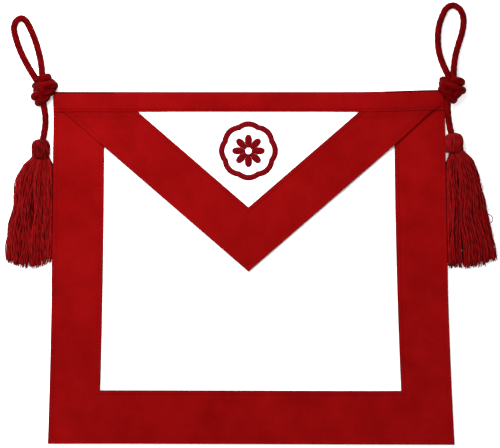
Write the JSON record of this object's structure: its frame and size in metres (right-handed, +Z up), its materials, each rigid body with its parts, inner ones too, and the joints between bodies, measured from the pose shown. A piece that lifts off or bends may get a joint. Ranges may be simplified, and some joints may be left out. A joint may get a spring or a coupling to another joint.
{
  "type": "masonic apron",
  "caption": "White cloth apron with a red border, pointed flap, top band, embroidered rosette emblem, and a corded loop, knot and tassel at each top corner, lying flat.",
  "frame": {"origin": "on the surface the apron lies on, under the middle of the cloth", "axes": "+X to the right as the apron is seen lying face up, +Y towards its waist edge, +Z up out of its face"},
  "size_m": [0.489, 0.442, 0.0214],
  "materials": {
    "white_cloth": "matte white woven cotton",
    "red_cloth": "matte red brushed felt cloth",
    "red_thread": "satin embroidery thread",
    "red_cord": "twisted cord with a soft sheen",
    "red_fringe": "twisted fringe strands with a soft sheen"
  },
  "bodies": {
    "root": {"body_panel": "white_cloth", "border": "red_cloth", "flap_panel": "white_cloth", "flap_border": "red_cloth", "top_band": "red_cloth", "emblem_ring": "red_thread", "emblem_rosette": "red_thread", "left_loop": "red_cord", "left_knot": "red_cord", "left_drop": "red_cord", "left_tassel": "red_fringe", "right_loop": "red_cord", "right_knot": "red_cord", "right_drop": "red_cord", "right_tassel": "red_fringe"}
  },
  "joints": []
}
